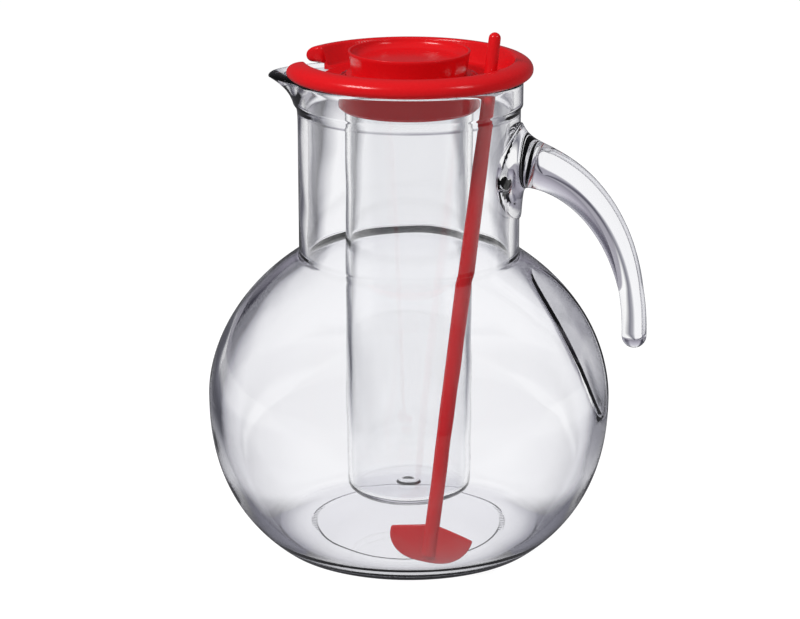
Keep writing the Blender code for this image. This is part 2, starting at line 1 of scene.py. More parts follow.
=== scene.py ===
"""Looks of the glass water jug: clear glass, clear plastic and glossy red plastic on a white studio floor.

Lengths are in metres, in the frame of the CAD model: +Z up, +X towards the handle, -X towards the spout.
"""

import json
import math

import bmesh
import bpy
from mathutils import Matrix, Vector, noise

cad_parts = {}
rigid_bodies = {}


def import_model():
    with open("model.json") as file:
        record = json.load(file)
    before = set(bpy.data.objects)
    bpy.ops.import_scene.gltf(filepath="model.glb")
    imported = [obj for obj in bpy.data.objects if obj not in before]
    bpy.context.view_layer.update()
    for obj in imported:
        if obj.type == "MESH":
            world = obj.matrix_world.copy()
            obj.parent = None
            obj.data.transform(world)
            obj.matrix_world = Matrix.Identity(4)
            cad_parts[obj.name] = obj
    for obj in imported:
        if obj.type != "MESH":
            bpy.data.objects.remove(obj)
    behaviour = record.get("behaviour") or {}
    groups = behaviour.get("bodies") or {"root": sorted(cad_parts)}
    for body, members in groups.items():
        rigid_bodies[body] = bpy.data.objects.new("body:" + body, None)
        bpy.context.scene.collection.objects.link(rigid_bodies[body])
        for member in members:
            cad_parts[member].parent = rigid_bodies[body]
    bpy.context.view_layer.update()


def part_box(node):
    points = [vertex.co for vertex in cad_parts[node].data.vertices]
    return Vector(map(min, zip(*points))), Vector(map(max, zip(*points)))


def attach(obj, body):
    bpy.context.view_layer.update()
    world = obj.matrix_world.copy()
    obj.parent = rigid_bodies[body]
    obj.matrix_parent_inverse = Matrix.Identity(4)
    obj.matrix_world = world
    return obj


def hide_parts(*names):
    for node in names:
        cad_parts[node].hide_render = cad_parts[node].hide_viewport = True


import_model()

MM = 0.001

# Belly: two superellipse halves that meet at its widest height
BELLY_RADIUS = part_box("jug_body")[1].y
BELLY_HEIGHT = 62.7 * MM
SHOULDER_REACH = 72.2 * MM
SHOULDER_POWER = 1.854
HEEL_REACH = 76.8 * MM
HEEL_POWER = 2.328
GLASS_WALL = 3.8 * MM
FLOOR_THICKNESS = 5.0 * MM
FLOOR_FILLET = 5.0 * MM
HEEL_LIFT = 1.2 * MM
HEEL_EDGE_LIFT = 0.7 * MM
HEEL_EDGE_INSET = 2.2 * MM
BASE_FLAT_RADIUS = 43.0 * MM

# Neck, and the thicker band below the rim
NECK_RADIUS = 44.5 * MM
NECK_FILLET_OUTSIDE = 1.5 * MM
NECK_FILLET_INSIDE = 3.0 * MM
BAND_PROUD = 0.9 * MM
BAND_HEIGHT = 11.2 * MM
BAND_CHAMFER = 1.6 * MM
RIM_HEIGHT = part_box("jug_body")[1].z
RIM_WALL = 3.6 * MM

# Spout
SPOUT_REACH = 11.9 * MM
SPOUT_DEPTH = 18.2 * MM
SPOUT_HALF_ANGLE = math.radians(40)
SPOUT_SHARPNESS = 2.2
SPOUT_CLIMB_POWER = 3.0
SPOUT_INSIDE_LAG = 2.2 * MM

# Panel pressed into the belly under the handle
PANEL_BEND_RADIUS = 103.8 * MM
PANEL_REACH = 83.1 * MM
PANEL_BEND_HEIGHT = 41.6 * MM
PANEL_START = 30.0 * MM
PANEL_BOTTOM = 20.0 * MM
PANEL_NEAR = 0.06 * MM
PANEL_STEPS = 180

# Handle
HANDLE_REACH = 92.1 * MM
HANDLE_START = 39.8 * MM
HANDLE_ROOT_HEIGHT = 161.0 * MM
HANDLE_TIP_HEIGHT = 86.5 * MM
HANDLE_CURVE_POWER = 2.1
HANDLE_ROOT_RADIUS = 9.9 * MM
HANDLE_TIP_RADIUS = 5.0 * MM
HANDLE_TAPER_END = math.radians(75)
PAD_RADIUS = 19.0 * MM
PAD_WIDTH_SHARE = 1.15
PAD_DROP = 3.6 * MM
PAD_FLARE_ABOVE = 2.8 * MM
PAD_FLARE_BELOW = 0.9 * MM
PAD_FLARE_LENGTH = 9.0 * MM
PAD_THICKNESS = 0.8 * MM
PAD_BURIED = 2.0 * MM
PAD_WRAP_REACH = 9.0 * MM

# Stippled ring of short bars under the floor
STIPPLE_INNER = 38.4 * MM
STIPPLE_OUTER = 41.2 * MM
STIPPLE_DEPTH = 0.45 * MM
# A height below the base, which marks the points that shape_glass lifts into bars
STIPPLE_MARK = -1.0
FLAT_MARGIN = 0.3 * MM

# Slow unevenness of the inside of the glass
WAVE_HEIGHT = 0.10 * MM
WAVE_LENGTH = 14.0 * MM

# Lid
RING_OVERHANG = 3.9 * MM
RING_CREST_INSET = 6.8 * MM
RING_RISE = 6.9 * MM
RING_WIDEST_RISE = 2.5 * MM
RING_UNDERSIDE_WIDTH = 1.4 * MM
RING_TOP_POWER = 2.2
RING_END_ROUND = 2.6 * MM
LID_WALL = 1.4 * MM
DECK_DROP = 0.8 * MM
DECK_FILLET = 1.0 * MM
WALL_LEAN = 1.9 * MM
COLLAR_WALL = 2.2 * MM
COLLAR_DEPTH = 11.9 * MM
COLLAR_CHAMFER = 1.1 * MM
PLUG_CLEARANCE = 0.5 * MM
POUR_HALF_ANGLE = math.radians(19.5)
POUR_EDGE = 35.5 * MM
SLOT_WIDTH = 7.6 * MM
SLOT_HALF_ANGLE = math.radians(24)
JOIN_GAP = 0.3 * MM

# Ice tube
TUBE_RADIUS = 25.6 * MM
TUBE_WALL = 1.9 * MM
TUBE_FLOOR = 2.5 * MM
TUBE_CORNER = 4.0 * MM
FLANGE_WIDTH = 1.9 * MM
PIP_RADIUS = 4.9 * MM
PIP_HEIGHT = 1.0 * MM
TUBE_CLEARANCE = 0.4 * MM
TUBE_FLOOR_GAP = 14.9 * MM
FLANGE_THICKNESS = 1.8 * MM

# Cap of the ice tube
CAP_RIM_RADIUS = 24.3 * MM
CAP_WAIST_RADIUS = 22.9 * MM
CAP_RISE = 9.8 * MM
CAP_RIM_WIDTH = 1.0 * MM
CAP_DISH_DEPTH = 3.3 * MM
CAP_DISH_RADIUS = 18.5 * MM
CAP_WALL = 1.4 * MM
CAP_SHOULDER_WIDTH = 1.4 * MM
CAP_SHOULDER_HEIGHT = 1.0 * MM
PLUG_DEPTH = 6.5 * MM

# Stirrer
FOOT_RADIUS = 48.0 * MM
FOOT_ANGLE = math.radians(-69.9)
FOOT_CLEARANCE = 0.9 * MM
ROD_DECK_ANGLE = math.radians(-12.5)
ROD_TOP_RISE = 19.2 * MM
ROD_TOP_RADIUS = 2.4 * MM
ROD_MIDDLE_RADIUS = 3.15 * MM
ROD_FOOT_RADIUS = 2.9 * MM
ROD_FOOT_GAP = 3.0 * MM
PADDLE_WIDTH = 33.4 * MM
PADDLE_HEIGHT = 15.8 * MM
PADDLE_DROP = 3.8 * MM
PADDLE_SKEW_SHARE = 0.18
PADDLE_THICKNESS = 1.6 * MM
PADDLE_POWER = 2.2
PADDLE_ANGLE = math.radians(-7)
PADDLE_EDGE = 0.5 * MM

# Steps of the round shapes
JUG_STEPS = 256
RED_STEPS = 160
TUBE_STEPS = 128
ROD_STEPS = 32
HANDLE_STEPS = 64
RING_END_STEPS = 9
PADDLE_EDGE_STEPS = 3

# Angles over which an edge is shaded sharp or bevelled, and other unit values
GLASS_SHARP_DEGREES = 50
LID_SHARP_DEGREES = 38
TURNED_SHARP_DEGREES = 40
ROD_SHARP_DEGREES = 35
PADDLE_EDGE_ANGLE = math.radians(60)
HANDLE_END_SHARE = 0.03
ROD_END_SHARE = 0.04
TURN_STEP = 0.002
RING_END_SHRINK_SHARE = 0.5

# The pip's outline from its middle to its foot, as shares of its radius and height
PIP_SHARES = ((0.0, 0.5), (0.5, 0.6), (0.72, 1.0), (0.85, 0.9), (1.0, 0.0))

# Red plastic, with a fine grain in its colour, gloss and surface
RED_DARKER = (0.72, 0.006, 0.010, 1.0)
RED_LIGHTER = (0.82, 0.009, 0.013, 1.0)
RED_GLOSSIEST = 0.14
RED_DULLEST = 0.26
RED_GLOSS_SHARE = 0.3
RED_IOR = 1.5
GRAIN_SCALE = 900.0
GRAIN_DETAIL = 3.0
GRAIN_STRENGTH = 0.04
GRAIN_DEPTH = 0.2 * MM

# Clear materials, and how much of the lamps' light a surface of them lets through
GLASS_IOR = 1.5
PLASTIC_IOR = 1.49
LAMP_THROUGH_GLASS = (0.85, 0.86, 0.87)
LAMP_THROUGH_PLASTIC = (0.97, 0.97, 0.97)

# Painted shade: how clear materials darken from face on, 0, to edge on, 1, for the dark edges of thick
# glass
GLASS_PAINTED_EDGE_SHADE = (
    (0.0, (0.996, 0.997, 1.0)),
    (0.42, (0.985, 0.987, 0.992)),
    (0.64, (0.86, 0.86, 0.885)),
    (0.78, (0.62, 0.62, 0.66)),
    (0.90, (0.26, 0.26, 0.29)),
    (0.97, (0.10, 0.10, 0.12)),
)
PLASTIC_PAINTED_EDGE_SHADE = (
    (0.0, (0.994, 0.996, 1.0)),
    (0.7, (0.975, 0.980, 0.985)),
    (0.98, (0.34, 0.35, 0.38)),
)

# Surroundings. Flags: grey by direction, 0.5 straight behind the jug, less to the left
FLAG_STOPS = (
    (0.19, (0.55, 0.55, 0.57)),
    (0.25, (0.92, 0.92, 0.93)),
    (0.36, (0.60, 0.60, 0.63)),
    (0.385, (0.14, 0.14, 0.17)),
    (0.43, (0.10, 0.10, 0.13)),
    (0.455, (0.97, 0.97, 0.98)),
    (0.55, (1.0, 1.0, 1.0)),
    (0.575, (0.34, 0.34, 0.38)),
    (0.61, (0.22, 0.22, 0.26)),
    (0.65, (0.75, 0.75, 0.78)),
    (0.70, (0.92, 0.92, 0.93)),
    (0.76, (0.92, 0.92, 0.93)),
    (0.82, (0.55, 0.55, 0.57)),
)
# Grey by height of direction, for what glass refracts and for what surfaces mirror
SKY_STOPS = (
    (0.0, (0.28, 0.27, 0.32)),
    (0.10, (0.42, 0.40, 0.47)),
    (0.40, (0.66, 0.65, 0.72)),
    (0.62, (0.95, 0.95, 0.97)),
)
MIRROR_STOPS = (
    (0.0, (0.10, 0.10, 0.11)),
    (0.5, (0.08, 0.08, 0.09)),
    (1.0, (0.18, 0.18, 0.19)),
)
# Painted shade on the floor, seen only through the glass: strips beside the jug, with 0.5 under it, each
# 0.01 a centimetre
PAINTED_STRIP_SHADE_STOPS = (
    (0.14, (1.0, 1.0, 1.0)),
    (0.23, (0.22, 0.22, 0.26)),
    (0.34, (0.07, 0.07, 0.09)),
    (0.36, (0.40, 0.40, 0.44)),
    (0.40, (0.96, 0.96, 0.98)),
    (0.60, (0.98, 0.98, 1.0)),
    (0.64, (0.40, 0.40, 0.44)),
    (0.70, (0.20, 0.20, 0.24)),
    (0.82, (1.0, 1.0, 1.0)),
)
# Painted shade on the floor by distance from the jug's axis in metres, dark where the heel shows it
PAINTED_CONTACT_SHADE_STOPS = (
    (0.045, (1.0, 1.0, 1.0)),
    (0.058, (0.30, 0.30, 0.34)),
    (0.088, (0.22, 0.22, 0.26)),
    (0.115, (1.0, 1.0, 1.0)),
)
# Where that painted dark ring ends behind the jug and in its middle, with 0.5 on its axis
PAINTED_CONTACT_SHADE_BACK_STOPS = (
    (0.49, (0.0, 0.0, 0.0)),
    (0.53, (1.0, 1.0, 1.0)),
)
PAINTED_CONTACT_SHADE_MIDDLE_STOPS = (
    (0.445, (0.0, 0.0, 0.0)),
    (0.470, (0.8, 0.8, 0.8)),
    (0.530, (0.8, 0.8, 0.8)),
    (0.555, (0.0, 0.0, 0.0)),
)
# Where the painted shade strips end in front of the jug, with 0.5 under it, and where the white ends
# behind it and painted grey begins
PAINTED_STRIP_SHADE_END_STOPS = (
    (0.34, (1.0, 1.0, 1.0)),
    (0.44, (0.0, 0.0, 0.0)),
)
PAINTED_FAR_SHADE_STOPS = (
    (0.74, (1.0, 1.0, 1.0)),
    (0.92, (0.38, 0.37, 0.42)),
)
# Where painted shade darkens the floor in front of the jug, with 0.5 under it
PAINTED_FRONT_SHADE_STOPS = (
    (0.30, (0.50, 0.50, 0.52)),
    (0.38, (1.0, 1.0, 1.0)),
)
WORLD_LIGHT = 0.34
FLOOR_LIGHT = (0.24, 0.24, 0.24, 1.0)
FLOOR_WHITE = (0.88, 0.88, 0.88, 1.0)
FLOOR_MIRRORED = (0.12, 0.12, 0.13, 1.0)
FLOOR_SHADED = (0.30, 0.30, 0.30, 1.0)
BLACK = (0.0, 0.0, 0.0, 1.0)
FLOOR_SIZE = 12.0
FLOOR_LEVEL = -0.0002

# Camera, as fitted to the photograph
CAMERA_PLACE = (0.19465, -1.00136, 0.40601)
CAMERA_TILT = math.radians(73.1415)
CAMERA_TURN = math.radians(11.2049)
CAMERA_LENS = 117.683
CAMERA_SENSOR = 36.0
CAMERA_REACH = 100.0

# Softboxes: name, place, what they face, width, height and power
SOFTBOXES = (
    ("softbox_left", (-0.62, -0.62, 1.02), (0.0, 0.0, 0.15), 0.45, 0.30, 9.5),
    ("softbox_right", (0.75, -0.30, 0.85), (0.0, 0.0, 0.17), 0.16, 0.40, 1.8),
)

# Sizes that follow from the ones above
INNER_BELLY_RADIUS = BELLY_RADIUS - GLASS_WALL
JUNCTION_SHARE = (1 - (NECK_RADIUS / BELLY_RADIUS) ** SHOULDER_POWER) ** (1 / SHOULDER_POWER)
JUNCTION_HEIGHT = BELLY_HEIGHT + SHOULDER_REACH * JUNCTION_SHARE
BAND_RADIUS = NECK_RADIUS + BAND_PROUD
BAND_BOTTOM = RIM_HEIGHT - BAND_HEIGHT
PANEL_BEND_OFFSET = PANEL_BEND_RADIUS - PANEL_REACH
RIM_INNER_RADIUS = BAND_RADIUS - RIM_WALL
LIP_RADIUS = RIM_WALL / 2
LIP_HEIGHT = RIM_HEIGHT - LIP_RADIUS
RING_BOTTOM = RIM_HEIGHT + JOIN_GAP
RING_OUTER_RADIUS = BAND_RADIUS + RING_OVERHANG
DECK_TOP = RIM_HEIGHT - DECK_DROP
DECK_BOTTOM = DECK_TOP - LID_WALL
PLUG_RADIUS = RIM_INNER_RADIUS - PLUG_CLEARANCE
DECK_RADIUS = PLUG_RADIUS - LID_WALL
COLLAR_BORE = TUBE_RADIUS + TUBE_CLEARANCE
COLLAR_RADIUS = COLLAR_BORE + COLLAR_WALL
COLLAR_BOTTOM = DECK_TOP - COLLAR_DEPTH
FLANGE_RADIUS = TUBE_RADIUS + FLANGE_WIDTH
LEDGE_RADIUS = FLANGE_RADIUS + TUBE_CLEARANCE
FLANGE_BOTTOM = DECK_BOTTOM + JOIN_GAP
TUBE_TOP = FLANGE_BOTTOM + FLANGE_THICKNESS
TUBE_BOTTOM = FLOOR_THICKNESS + TUBE_FLOOR_GAP
TUBE_BORE = TUBE_RADIUS - TUBE_WALL
CAP_BOTTOM = TUBE_TOP + JOIN_GAP
CAP_TOP = CAP_BOTTOM + CAP_RISE
SLOT_RADIUS = (COLLAR_RADIUS + DECK_RADIUS) / 2


def evenly(start, stop, count):
    """Evenly spaced values from start to stop, both included."""
    return [start + (stop - start) * index / (count - 1) for index in range(count)]


def polar(radius, angle):
    return radius * math.cos(angle), radius * math.sin(angle)


def smooth_max(a, b, width):
    """The larger of two lengths, with their meeting rounded over the given width."""
    share = max(width - abs(a - b), 0.0) / width
    return max(a, b) + share * share * width / 4


def superellipse(share, across, along, power):
    """A point of a superellipse quarter. Share 0 is its end along and share 1 its end across."""
    angle = share * math.pi / 2
    return (
        across * math.sin(angle) ** (2 / power),
        along * max(math.cos(angle), 0.0) ** (2 / power),
    )


def belly_radius(height, inset):
    if height > BELLY_HEIGHT:
        reach, power = SHOULDER_REACH - inset, SHOULDER_POWER
    else:
        reach, power = HEEL_REACH - inset, HEEL_POWER
    share = min(abs(height - BELLY_HEIGHT) / reach, 1.0)
    return (BELLY_RADIUS - inset) * (1 - share**power) ** (1 / power)


def outer_radius(height):
    return smooth_max(belly_radius(height, 0.0), NECK_RADIUS, NECK_FILLET_OUTSIDE)


def inner_radius(height):
    neck = NECK_RADIUS - GLASS_WALL
    return smooth_max(belly_radius(height, GLASS_WALL), neck, NECK_FILLET_INSIDE)


def floor_height(radius):
    share = min(radius / INNER_BELLY_RADIUS, 1.0)
    curve = (1 - share**HEEL_POWER) ** (1 / HEEL_POWER)
    heel = BELLY_HEIGHT - (HEEL_REACH - GLASS_WALL) * curve
    return smooth_max(heel, FLOOR_THICKNESS, FLOOR_FILLET)


# Meshes
def finished(name, verts, faces, sharp=None):
    """An object from points and faces, facing outwards and shaded smooth."""
    mesh = bpy.data.meshes.new(name)
    mesh.from_pydata(verts, [], faces)
    solid = bmesh.new()
    solid.from_mesh(mesh)
    bmesh.ops.recalc_face_normals(solid, faces=solid.faces)
    solid.to_mesh(mesh)
    solid.free()
    piece = bpy.data.objects.new(name, mesh)
    bpy.context.scene.collection.objects.link(piece)
    shade(piece, sharp)
    return piece


def shade(piece, sharp=None):
    piece.data.shade_smooth()
    if sharp:
        piece.data.set_sharp_from_angle(angle=math.radians(sharp))


def lathe(name, outline, steps, closed=False, sharp=None):
    """An outline of radius and height turned round the Z axis."""
    verts = []
    rings = []
    for radius, height in outline:
        first = len(verts)
        if radius == 0.0:
            verts.append((0.0, 0.0, height))
            rings.append([first] * steps)
            continue
        for step in range(steps):
            x, y = polar(radius, math.tau * step / steps)
            verts.append((x, y, height))
        rings.append(list(range(first, first + steps)))
    if closed:
        rings.append(rings[0])
    return finished(name, verts, ring_faces(rings, steps, True), sharp)


def ring_faces(rings, steps, round_trip):
    """Faces between neighbouring rings, where a pole is a ring of one repeated point."""
    faces = []
    count = steps if round_trip else steps - 1
    for low, high in zip(rings, rings[1:]):
        for step in range(count):
            after = (step + 1) % steps
            corners = [low[step], low[after], high[after], high[step]]
            face = list(dict.fromkeys(corners))
            if len(face) > 2:
                faces.append(face)
    return faces


def swept(name, stations, steps, sharp=None):
    """A round rod through stations, each a centre, a direction and a radius, with flat ends."""
    verts = []
    rings = []
    for centre, along, radius in stations:
        side = Vector((0.0, 1.0, 0.0))
        side = (side - along * side.dot(along)).normalized()
        up = side.cross(along)
        first = len(verts)
        for step in range(steps):
            x, y = polar(radius, math.tau * step / steps)
            verts.append(centre + side * x + up * y)
        rings.append(list(range(first, first + steps)))
    faces = ring_faces(rings, steps, True)
    faces.append(rings[0])
    faces.append(rings[-1])
    return finished(name, verts, faces, sharp)


def arc_sweep(name, sections, sharp=None):
    """A closed section carried round the Z axis. Each entry is an angle and its section's points."""
    verts = []
    rings = []
    for angle, section in sections:
        first = len(verts)
        for radius, height in section:
            x, y = polar(radius, angle)
            verts.append((x, y, height))
        rings.append(list(range(first, first + len(section))))
    faces = ring_faces(rings, len(rings[0]), True)
    faces.append(rings[0])
    faces.append(rings[-1])
    return finished(name, verts, faces, sharp)


def prism(name, corners, low, high):
    """An upright block from a flat outline."""
    verts = [(x, y, low) for x, y in corners] + [(x, y, high) for x, y in corners]
    count = len(corners)
    faces = [list(range(count)), list(range(count, 2 * count))]
    for index in range(count):
        after = (index + 1) % count
        faces.append([index, after, count + after, count + index])
    return finished(name, verts, faces)


def combine(piece, other, operation):
    """Joins or cuts a piece with another one, which is used up."""
    boolean = piece.modifiers.new("combine", "BOOLEAN")
    boolean.operation = operation
    boolean.object = other
    boolean.solver = "EXACT"
    graph = bpy.context.evaluated_depsgraph_get()
    mesh = bpy.data.meshes.new_from_object(piece.evaluated_get(graph))
    piece.modifiers.clear()
    piece.data = mesh
    bpy.data.objects.remove(other, do_unlink=True)
    return piece


# Glass of the jug
def wall_share(radius, height):
    """0 on the outside of the glass and 1 on its inside."""
    if height > BAND_BOTTOM:
        outside, inside = BAND_RADIUS, RIM_INNER_RADIUS
    else:
        outside, inside = outer_radius(height), inner_radius(height)
    return min(max((outside - radius) / (outside - inside), 0.0), 1.0)


def panel_radius(angle, height, share):
    facing = math.cos(angle)
    if facing <= 0.0:
        return math.inf
    bend = PANEL_BEND_RADIUS - GLASS_WALL * share
    rise = height - PANEL_BEND_HEIGHT
    reach = math.sqrt(max(bend * bend - rise * rise, 0.0)) - PANEL_BEND_OFFSET
    return max(reach, 0.0) / facing


def spout_pull(angle, height, share):
    side = min(abs(angle) / SPOUT_HALF_ANGLE, 1.0)
    width = (0.5 + 0.5 * math.cos(math.pi * side)) ** SPOUT_SHARPNESS
    level = min(height, LIP_HEIGHT) - SPOUT_INSIDE_LAG * share
    climb = (level - LIP_HEIGHT + SPOUT_DEPTH) / SPOUT_DEPTH
    return SPOUT_REACH * width * min(max(climb, 0.0), 1.0) ** SPOUT_CLIMB_POWER


def jug_outline():
    """The jug's section from the middle of its floor, up inside and down outside."""
    junction = JUNCTION_HEIGHT
    blend = NECK_FILLET_INSIDE
    points = [(0.0, FLOOR_THICKNESS)]
    for share in evenly(0.05, 1.0, 60):
        radius = INNER_BELLY_RADIUS * math.sin(share * math.pi / 2)
        points.append((radius, floor_height(radius)))
    for height in evenly(BELLY_HEIGHT, junction - blend, 30)[1:]:
        points.append((inner_radius(height), height))
    for height in evenly(junction - blend, junction + blend, 24)[1:]:
        points.append((inner_radius(height), height))
    neck = NECK_RADIUS - GLASS_WALL
    for height in evenly(junction + blend, BAND_BOTTOM - BAND_CHAMFER, 36)[1:]:
        points.append((neck, height))
    for height in evenly(BAND_BOTTOM, LIP_HEIGHT, 12)[:-1]:
        points.append((RIM_INNER_RADIUS, height))
    for angle in evenly(math.pi, 0.0, 13):
        radius = BAND_RADIUS - LIP_RADIUS + LIP_RADIUS * math.cos(angle)
        points.append((radius, LIP_HEIGHT + LIP_RADIUS * math.sin(angle)))
    for height in evenly(LIP_HEIGHT, BAND_BOTTOM, 12)[1:]:
        points.append((BAND_RADIUS, height))
    for height in evenly(BAND_BOTTOM - BAND_CHAMFER, junction + NECK_FILLET_OUTSIDE, 36):
        points.append((NECK_RADIUS, height))
    for height in evenly(junction + NECK_FILLET_OUTSIDE, junction - NECK_FILLET_OUTSIDE, 8)[1:]:
        points.append((outer_radius(height), height))
    for height in evenly(junction - NECK_FILLET_OUTSIDE, BELLY_HEIGHT, 36)[1:]:
        points.append((outer_radius(height), height))
    for share in evenly(1.0, 0.0, 70)[1:]:
        radius, drop = superellipse(share, BELLY_RADIUS, HEEL_REACH, HEEL_POWER)
        if BELLY_HEIGHT - drop > HEEL_LIFT:
            points.append((radius, BELLY_HEIGHT - drop))
    corner = belly_radius(HEEL_LIFT, 0.0)
    points.append((corner, HEEL_LIFT))
    points.append((corner - HEEL_EDGE_INSET, HEEL_EDGE_LIFT))
    points.append((BASE_FLAT_RADIUS, 0.0))
    points.append((STIPPLE_OUTER + FLAT_MARGIN, 0.0))
    points.append((STIPPLE_OUTER, 0.0))
    for radius in evenly(STIPPLE_OUTER - STIPPLE_DEPTH, STIPPLE_INNER + STIPPLE_DEPTH, 5):
        points.append((radius, STIPPLE_MARK))
    points.append((STIPPLE_INNER, 0.0))
    points.append((STIPPLE_INNER - FLAT_MARGIN, 0.0))
    points.append((0.0, 0.0))
    return points


def shape_glass(piece):
    """Panel, spout, stippled bars and the slow waves of the inside."""
    for index, vertex in enumerate(piece.data.vertices):
        x, y, height = vertex.co
        radius = math.hypot(x, y)
        angle = math.atan2(y, x)
        if height < 0.0:
            step = round(angle / math.tau * JUG_STEPS)
            vertex.co.z = STIPPLE_DEPTH if step % 2 else 0.0
            continue
        share = wall_share(radius, height)
        if share > 0.5 and height < BAND_BOTTOM - BAND_CHAMFER:
            neck = NECK_RADIUS - GLASS_WALL * share
            radius = min(radius, max(panel_radius(angle, height, share), neck))
        to_spout = math.remainder(angle - math.pi, math.tau)
        radius += spout_pull(to_spout, height, share)
        if share > 0.5 and radius > FLOOR_THICKNESS and height < BAND_BOTTOM:
            spot = Vector((radius * math.cos(angle), radius * math.sin(angle), height))
            radius += WAVE_HEIGHT * noise.noise(spot / WAVE_LENGTH)
        vertex.co.x, vertex.co.y = polar(radius, angle)


def handle_point(turn):
    low = HANDLE_TIP_HEIGHT + HANDLE_TIP_RADIUS
    out, up = superellipse(
        turn / (math.pi / 2),
        HANDLE_REACH - HANDLE_START,
        HANDLE_ROOT_HEIGHT - low,
        HANDLE_CURVE_POWER,
    )
    return Vector((HANDLE_START + out, 0.0, low + up))


def handle_section(turn):
    """Centre and radius of the handle, with its pad's flare, soft above and tight below."""
    taper = min(turn / HANDLE_TAPER_END, 1.0)
    rod = HANDLE_ROOT_RADIUS + (HANDLE_TIP_RADIUS - HANDLE_ROOT_RADIUS) * taper
    centre = handle_point(turn)
    away = max(centre.x - NECK_RADIUS - PAD_THICKNESS, 0.0)
    above = (PAD_RADIUS - PAD_DROP - rod) * math.exp(-away / PAD_FLARE_ABOVE)
    below = (PAD_RADIUS + PAD_DROP - rod) * math.exp(-away / PAD_FLARE_BELOW)
    centre.z += (above - below) / 2
    return centre, rod + (above + below) / 2


def handle_stations():
    """Centres, directions and radii along the handle, from inside the neck's wall to its tip."""
    outward = Vector((1.0, 0.0, 0.0))
    down = Vector((0.0, 0.0, -1.0))
    pad_centre = HANDLE_ROOT_HEIGHT - PAD_DROP
    stations = []
    for reach in evenly(NECK_RADIUS - PAD_BURIED, NECK_RADIUS + PAD_THICKNESS, 6)[:-1]:
        stations.append((Vector((reach, 0.0, pad_centre)), outward, PAD_RADIUS))
    for share in evenly(0.0, 1.0, 24):
        reach = NECK_RADIUS + PAD_THICKNESS + PAD_FLARE_LENGTH * share * share
        across = (reach - HANDLE_START) / (HANDLE_REACH - HANDLE_START)
        turn = math.asin(across ** (HANDLE_CURVE_POWER / 2))
        centre, radius = handle_section(turn)
        slope = handle_direction(turn)
        along = outward.lerp(slope, share * share).normalized()
        stations.append((centre, along, radius))
    for turn in evenly(turn, math.pi / 2, 48)[1:]:
        centre, radius = handle_section(turn)
        stations.append((centre, handle_direction(turn), radius))
    end = stations[-1][0]
    for angle in evenly(0.0, math.pi / 2, 12)[1:]:
        centre = end + down * HANDLE_TIP_RADIUS * math.sin(angle)
        stations.append((centre, down, HANDLE_TIP_RADIUS * max(math.cos(angle), HANDLE_END_SHARE)))
    return stations


def handle_direction(turn):
    step = TURN_STEP
    before = handle_point(max(turn - step, 0.0))
    after = handle_point(min(turn + step, math.pi / 2))
    return (after - before).normalized()


def wrap_pad(piece):
    """Widens the handle's pad and bends it round the neck."""
    for vertex in piece.data.vertices:
        away = vertex.co.x - NECK_RADIUS
        fade = min(max(1 - away / PAD_WRAP_REACH, 0.0), 1.0)
        vertex.co.y *= 1 + (PAD_WIDTH_SHARE - 1) * fade
        side = min(abs(vertex.co.y), NECK_RADIUS)
        drop = NECK_RADIUS - math.sqrt(NECK_RADIUS**2 - side**2)
        vertex.co.x -= drop * fade


def press_panel(glass):
    """Cuts the panel into the outside of the glass, flat across and with a crisp edge."""
    side = BELLY_RADIUS
    verts = []
    for height in evenly(PANEL_BOTTOM, JUNCTION_HEIGHT, PANEL_STEPS):
        reach = panel_radius(0.0, height, 0.0)
        for across in (-side, side):
            verts += [(reach, across, height), (side * 2, across, height)]
    count = PANEL_STEPS
    faces = [(0, 1, 3, 2), (4 * count - 4, 4 * count - 2, 4 * count - 1, 4 * count - 3)]
    for step in range(count - 1):
        low, high = 4 * step, 4 * step + 4
        for a, b in ((0, 2), (2, 3), (3, 1), (1, 0)):
            faces.append((low + a, low + b, high + b, high + a))
    block = finished("panel_block", verts, faces)
    combine(glass, block, "DIFFERENCE")


def mark_panel_edge(glass):
    """Keeps the edge between the belly and its panel sharp when shaded."""
    on_both = set()
    for vertex in glass.data.vertices:
        to_axis = math.hypot(vertex.co.x + PANEL_BEND_OFFSET, vertex.co.z - PANEL_BEND_HEIGHT)
        to_panel = abs(to_axis - PANEL_BEND_RADIUS)
        radius = math.hypot(vertex.co.x, vertex.co.y)
        if vertex.co.x < PANEL_START or not PANEL_BOTTOM < vertex.co.z < JUNCTION_HEIGHT:
            continue
        to_belly = abs(outer_radius(vertex.co.z) - radius)
        if to_panel < PANEL_NEAR and to_belly < PANEL_NEAR:
            on_both.add(vertex.index)
    for edge in glass.data.edges:
        if edge.vertices[0] in on_both and edge.vertices[1] in on_both:
            edge.use_edge_sharp = True


def make_glass(material):
    glass = lathe("jug_glass", jug_outline(), JUG_STEPS)
    shape_glass(glass)
    press_panel(glass)
    handle = swept("handle_glass", handle_stations(), HANDLE_STEPS)
    wrap_pad(handle)
    combine(glass, handle, "UNION")
    shade(glass, GLASS_SHARP_DEGREES)
    mark_panel_edge(glass)
    return dressed(glass, material, "jug", "clear_glass", "jug_body", "jug_handle")


def dressed(piece, material, body, slot, *nodes):
    """Gives a piece its material and body, and lets it stand for its CAD nodes; its slot is not used."""
    piece.data.materials.clear()
    piece.data.materials.append(material)
    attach(piece, body)
    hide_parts(*nodes)
    return piece


